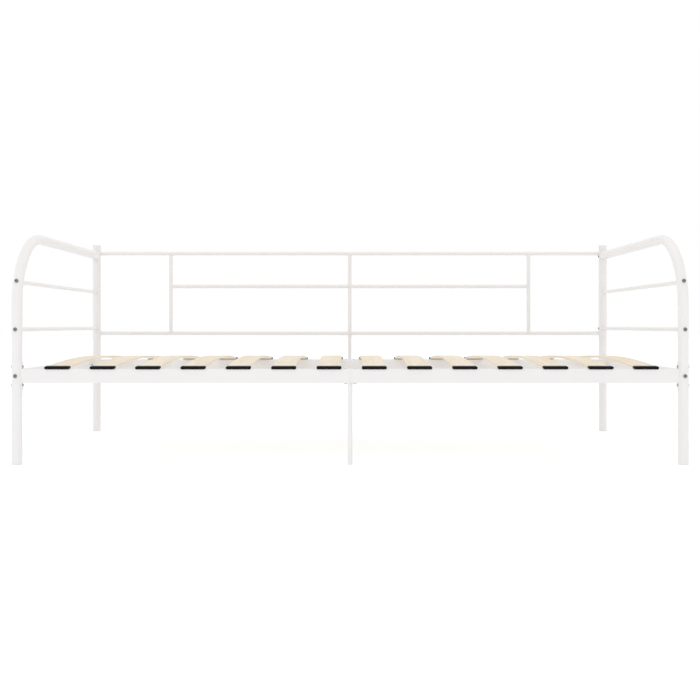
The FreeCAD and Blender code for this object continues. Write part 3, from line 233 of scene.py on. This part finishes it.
def is_cross_ply(tree, axes):
    """1 inside the plies that run across the board, 0 in the others."""
    # The plies follow the slat's arc, so a ply is a range of distance from the arc's centre.
    rise = slat_high.z - SLAT_THICKNESS - slat_low.z
    half = (slat_high.y - slat_low.y) / 2
    radius = (half ** 2 + rise ** 2) / (2 * rise)
    centre_level = slat_high.z - SLAT_THICKNESS - radius
    from_centre = calculate(tree, "SUBTRACT", axes["Z"], centre_level)
    from_middle = calculate(tree, "SUBTRACT", axes["Y"], (slat_high.y + slat_low.y) / 2)
    arm = add(tree, "ShaderNodeCombineXYZ", {"Y": from_middle, "Z": from_centre}).outputs["Vector"]
    reach = add(tree, "ShaderNodeVectorMath", {0: arm}, operation="LENGTH").outputs["Value"]
    height = remap(tree, reach, radius, radius + SLAT_THICKNESS, 0.0, 1.0)
    plies = add(tree, "ShaderNodeValToRGB", {"Fac": height})
    ply_stops(plies.color_ramp)
    return plies.outputs["Color"]


def ply_stops(ramp):
    """Black where a ply runs along the board, white where it runs across."""
    ramp.interpolation = "CONSTANT"
    ramp.elements[0].position = 0.0
    ramp.elements[0].color = colour(0, 0, 0)
    ramp.elements[1].position = 1.0 / PLY_COUNT
    ramp.elements[1].color = colour(1, 1, 1)
    for ply in range(2, PLY_COUNT):
        stop = ramp.elements.new(ply / PLY_COUNT)
        share = ply % 2
        stop.color = colour(share, share, share)


def moulded_plastic(name, tone_scale, dark, light, gloss_scale, shiny, dull):
    """Moulded plastic whose tone and gloss vary a little."""
    material, tree, shader = new_material(name)
    place = position(tree)
    set_tone(tree, shader, noise(tree, place, tone_scale, 3.0), dark, light)
    set_gloss(tree, shader, noise(tree, place, gloss_scale, 2.0), shiny, dull)
    return material, tree, shader, place


def black_plastic():
    """Black moulded polypropylene with a fine spark-eroded texture."""
    material, tree, shader, place = moulded_plastic(
        "black_plastic", 160.0, colour(0.003, 0.003, 0.0025), colour(0.007, 0.0065, 0.006),
        900.0, 0.36, 0.52)
    bump(tree, shader, noise(tree, place, 2200.0, 2.0), 0.45, 0.00005)
    shader.inputs["Specular IOR Level"].default_value = 0.11
    return material


def white_plastic():
    """White polyethylene of the tube plugs, a little duller and softer than the paint."""
    material, tree, shader, place = moulded_plastic(
        "white_plastic", 90.0, colour(0.74, 0.74, 0.73), colour(0.79, 0.79, 0.78),
        700.0, 0.45, 0.60)
    bump(tree, shader, noise(tree, place, 1500.0, 2.0), 0.35, 0.00004)
    return material


def plated_steel(name, dark, light, shiny, dull):
    """Plated steel with cloudy tone and fine tumbling marks."""
    material, tree, shader = new_material(name)
    place = position(tree)
    set_tone(tree, shader, noise(tree, place, 320.0, 4.0, 0.6), dark, light)
    shader.inputs["Metallic"].default_value = 1.0
    set_gloss(tree, shader, noise(tree, place, 1400.0, 3.0), shiny, dull)
    bump(tree, shader, noise(tree, place, 3200.0, 2.0), 0.30, 0.00003)
    return material


materials = {
    "white_powder_coat": powder_coat(),
    "birch_plywood": birch_plywood(),
    "black_plastic": black_plastic(),
    "white_plastic": white_plastic(),
    "zinc_steel": plated_steel(
        "zinc_steel", colour(0.60, 0.60, 0.60), colour(0.76, 0.76, 0.75), 0.26, 0.42),
    "nickel_steel": plated_steel(
        "nickel_steel", colour(0.40, 0.40, 0.40), colour(0.52, 0.52, 0.51), 0.26, 0.42),
    "dark_zinc_steel": plated_steel(
        "dark_zinc_steel", colour(0.17, 0.17, 0.175), colour(0.25, 0.25, 0.255), 0.25, 0.40),
}
for subpart in frame["record"]["subparts"]:
    cad_object = frame["nodes"][subpart["node"]]
    cad_object.material_slots[0].material = materials[subpart["material_slot"]]


# ---- Weld beads under the paint ----

PANEL_BEAD_RADIUS = 0.0013
RAIL_BEAD_RADIUS = 0.0011
RIPPLE_PITCH = 0.0022
RIPPLE_DEPTH = 0.12
FEWEST_RIPPLES = 6
POINTS_PER_RIPPLE = 5
BEAD_SIDES = 10
SHORTEST_STEP = 1e-9
LOOP_STEP = 0.001
ROUND_LOOP_STEPS = 180
CORNER_STEPS = 8


def resampled(loop):
    """Closed loop of points at even steps, a whole number of ripples long."""
    lengths = [(loop[(index + 1) % len(loop)] - point).length for index, point in enumerate(loop)]
    total = sum(lengths)
    count = max(FEWEST_RIPPLES, round(total / RIPPLE_PITCH)) * POINTS_PER_RIPPLE
    points = []
    index = 0
    passed = 0.0
    for step in range(count):
        target = total * step / count
        while passed + lengths[index] < target:
            passed += lengths[index]
            index += 1
        share = (target - passed) / max(lengths[index], SHORTEST_STEP)
        points.append(loop[index].lerp(loop[(index + 1) % len(loop)], share))
    return points


def add_bead(mesh, loop, radius):
    """Rippled round bead along a closed loop."""
    points = resampled(loop)
    centre = sum(points, Vector()) / len(points)
    rings = []
    for index, point in enumerate(points):
        along = (points[(index + 1) % len(points)] - points[index - 1]).normalized()
        outward = point - centre
        outward = (outward - along * outward.dot(along)).normalized()
        across = along.cross(outward)
        swell = radius * (1 + RIPPLE_DEPTH * math.cos(2 * math.pi * index / POINTS_PER_RIPPLE))
        ring = []
        for side in range(BEAD_SIDES):
            angle = 2 * math.pi * side / BEAD_SIDES
            ray = outward * math.cos(angle) + across * math.sin(angle)
            ring.append(mesh.verts.new(point + swell * ray))
        rings.append(ring)
    for index, ring in enumerate(rings):
        follower = rings[(index + 1) % len(rings)]
        for side in range(BEAD_SIDES):
            after = (side + 1) % BEAD_SIDES
            mesh.faces.new((ring[side], follower[side], follower[after], ring[after]))


def rod_joint(host, branch):
    """Loop where a round branch ends on a round host; both run along an axis of the frame."""
    host_low, host_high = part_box(host)
    branch_low, branch_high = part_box(branch)
    host_size = host_high - host_low
    branch_size = branch_high - branch_low
    host_axis = max(range(3), key=lambda axis: host_size[axis])
    branch_axis = max(range(3), key=lambda axis: branch_size[axis])
    host_radius = host_size.y / 2
    branch_radius = branch_size.y / 2
    point = middle(branch)
    point[branch_axis] = middle(host)[branch_axis]
    along_host = Vector()
    along_host[host_axis] = 1.0
    along_branch = Vector()
    along_branch[branch_axis] = math.copysign(1.0, middle(branch)[branch_axis] - point[branch_axis])
    across = along_host.cross(along_branch)
    loop = []
    for step in range(ROUND_LOOP_STEPS):
        angle = 2 * math.pi * step / ROUND_LOOP_STEPS
        aside = branch_radius * math.sin(angle)
        depth = math.sqrt(max(host_radius ** 2 - aside ** 2, 0.0))
        level = along_host * branch_radius * math.cos(angle)
        loop.append(point + along_branch * depth + level + across * aside)
    return loop


def saddle_joint(leg, rail):
    """Loop where a front rail ends on the saddle plate round its leg."""
    leg_low, leg_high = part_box(leg)
    leg_x = (leg_low.x + leg_high.x) / 2
    inward = math.copysign(1.0, middle(rail).x - leg_x)
    radius = (leg_high.x - leg_low.x) / 2 + SADDLE_THICKNESS
    loop = []
    for point in rail_outline(rail):
        depth = math.sqrt(radius ** 2 - (point.y - middle(rail).y) ** 2)
        loop.append(Vector((leg_x + inward * depth, point.y, point.z)))
    return loop


def plate_joint(plate, rail):
    """Loop where a back rail ends on its flat end plate."""
    plate_low, plate_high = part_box(plate)
    face = plate_low.x if middle(rail).x < plate_low.x else plate_high.x
    return [Vector((face, point.y, point.z)) for point in rail_outline(rail)]


def rail_outline(rail):
    """Closed loop round a rail's section."""
    rail_low, rail_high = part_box(rail)
    centre = middle(rail)
    half_width = (rail_high.y - rail_low.y) / 2
    half_height = (rail_high.z - rail_low.z) / 2
    loop = []
    for quarter, (side_y, side_z) in enumerate(((1, 1), (-1, 1), (-1, -1), (1, -1))):
        for step in range(CORNER_STEPS + 1):
            angle = math.pi / 2 * (quarter + step / CORNER_STEPS)
            aside = side_y * (half_width - RAIL_CORNER) + RAIL_CORNER * math.cos(angle)
            level = side_z * (half_height - RAIL_CORNER) + RAIL_CORNER * math.sin(angle)
            loop.append(Vector((centre.x, centre.y + aside, centre.z + level)))
    return dense(loop)


def dense(loop):
    """Extra points on the long straight stretches of a loop."""
    points = []
    for index, point in enumerate(loop):
        follower = loop[(index + 1) % len(loop)]
        count = max(1, round((follower - point).length / LOOP_STEP))
        for step in range(count):
            points.append(point.lerp(follower, step / count))
    return points


def weld_piece(name, loops, radius):
    """One piece that holds several beads."""
    mesh = bmesh.new()
    for loop in loops:
        add_bead(mesh, loop, radius)
    bmesh.ops.recalc_face_normals(mesh, faces=mesh.faces)
    data = bpy.data.meshes.new(name)
    mesh.to_mesh(data)
    mesh.free()
    for face in data.polygons:
        face.use_smooth = True
    data.materials.append(materials["white_powder_coat"])
    piece = bpy.data.objects.new(name, data)
    bpy.context.scene.collection.objects.link(piece)
    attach(piece, "root")


PANEL_JOINTS = [
    ("left_back_post", "panel_top_rod"),
    ("right_back_post", "panel_top_rod"),
    ("left_back_post", "panel_left_low_rod"),
    ("right_back_post", "panel_right_low_rod"),
    ("panel_top_rod", "panel_left_upright"),
    ("panel_top_rod", "panel_centre_upright"),
    ("panel_top_rod", "panel_right_upright"),
    ("panel_left_low_rod", "panel_left_upright"),
    ("panel_right_low_rod", "panel_right_upright"),
    ("panel_left_upright", "panel_left_middle_rod"),
    ("panel_right_upright", "panel_right_middle_rod"),
    ("panel_centre_upright", "panel_left_middle_rod"),
    ("panel_centre_upright", "panel_right_middle_rod"),
    ("panel_centre_upright", "panel_left_low_rod"),
    ("panel_centre_upright", "panel_right_low_rod"),
]
weld_piece("panel_weld_beads", [rod_joint(host, branch) for host, branch in PANEL_JOINTS],
           PANEL_BEAD_RADIUS)

weld_piece("rail_weld_beads", [
    saddle_joint("left_arch_tube", "front_left_rail"),
    saddle_joint("right_arch_tube", "front_right_rail"),
    plate_joint("back_left_end_plate", "back_left_rail"),
    plate_joint("back_right_end_plate", "back_right_rail"),
], RAIL_BEAD_RADIUS)


# ---- Floor, light and camera ----

FLOOR_HALF = 30.0
FLOOR_GLOW = 0.16
CAMERA_DISTANCE = 2.964
CAMERA_HEIGHT = 0.4265
CAMERA_LENS = 49.74
SENSOR_WIDTH = 36.0
CAMERA_ASIDE = -0.0057
HORIZON_SHIFT = -0.0353
SIDE_SHIFT = 0.0024


def pale_floor():
    """Plain floor under the bed."""
    data = bpy.data.meshes.new("floor")
    signs = ((-1, -1), (1, -1), (1, 1), (-1, 1))
    corners = [(x * FLOOR_HALF, y * FLOOR_HALF, 0.0) for x, y in signs]
    data.from_pydata(corners, [], [(0, 1, 2, 3)])
    floor = bpy.data.objects.new("floor", data)
    bpy.context.scene.collection.objects.link(floor)
    material, tree, shader = new_material("studio_floor")
    shader.inputs["Base Color"].default_value = colour(0.97, 0.97, 0.97)
    shader.inputs["Roughness"].default_value = 0.7
    # A light-table floor: a faint cool glow of its own keeps the shade under the bed pale, and
    # makes up for the warm light that the slats send down.
    shader.inputs["Emission Color"].default_value = colour(0.62, 0.80, 1.0)
    shader.inputs["Emission Strength"].default_value = FLOOR_GLOW
    data.materials.append(material)


def studio_world():
    """Even white surroundings, a little brighter overhead."""
    world = bpy.data.worlds.new("studio")
    world.use_nodes = True
    tree = world.node_tree
    direction = add(tree, "ShaderNodeTexCoord").outputs["Generated"]
    upward = add(tree, "ShaderNodeSeparateXYZ", {"Vector": direction}).outputs["Z"]
    background = tree.nodes["Background"].inputs
    background["Color"].default_value = colour(1.0, 1.0, 1.0)
    tree.links.new(remap(tree, upward, 0.15, 1.0, 1.0, 1.06), background["Strength"])
    bpy.context.scene.world = world


def soft_light(name, place, target, size, power):
    """Rectangular light that faces its target."""
    light = bpy.data.lights.new(name, "AREA")
    light.shape = "RECTANGLE"
    light.size, light.size_y = size
    light.energy = power
    lamp = bpy.data.objects.new(name, light)
    lamp.location = place
    lamp.rotation_euler = (Vector(target) - Vector(place)).to_track_quat("-Z", "Y").to_euler()
    bpy.context.scene.collection.objects.link(lamp)


def front_camera():
    """Level camera in front of the bed, with the horizon moved up by the lens shift."""
    data = bpy.data.cameras.new("camera")
    data.lens = CAMERA_LENS
    data.sensor_width = SENSOR_WIDTH
    data.shift_x = SIDE_SHIFT
    data.shift_y = HORIZON_SHIFT
    camera = bpy.data.objects.new("camera", data)
    camera.location = (front_leg.x + CAMERA_ASIDE, front_leg.y - CAMERA_DISTANCE, CAMERA_HEIGHT)
    camera.rotation_euler = (math.pi / 2, 0.0, 0.0)
    bpy.context.scene.collection.objects.link(camera)
    bpy.context.scene.camera = camera


pale_floor()
studio_world()
soft_light("key", place=(-2.2, -3.6, 3.0), target=(0.0, 0.0, 0.35), size=(2.6, 1.8), power=11.0)
soft_light("top", place=(0.8, 0.4, 3.4), target=(0.0, 0.0, 0.3), size=(3.0, 1.6), power=6.0)
front_camera()
bpy.context.scene.view_settings.view_transform = "Standard"
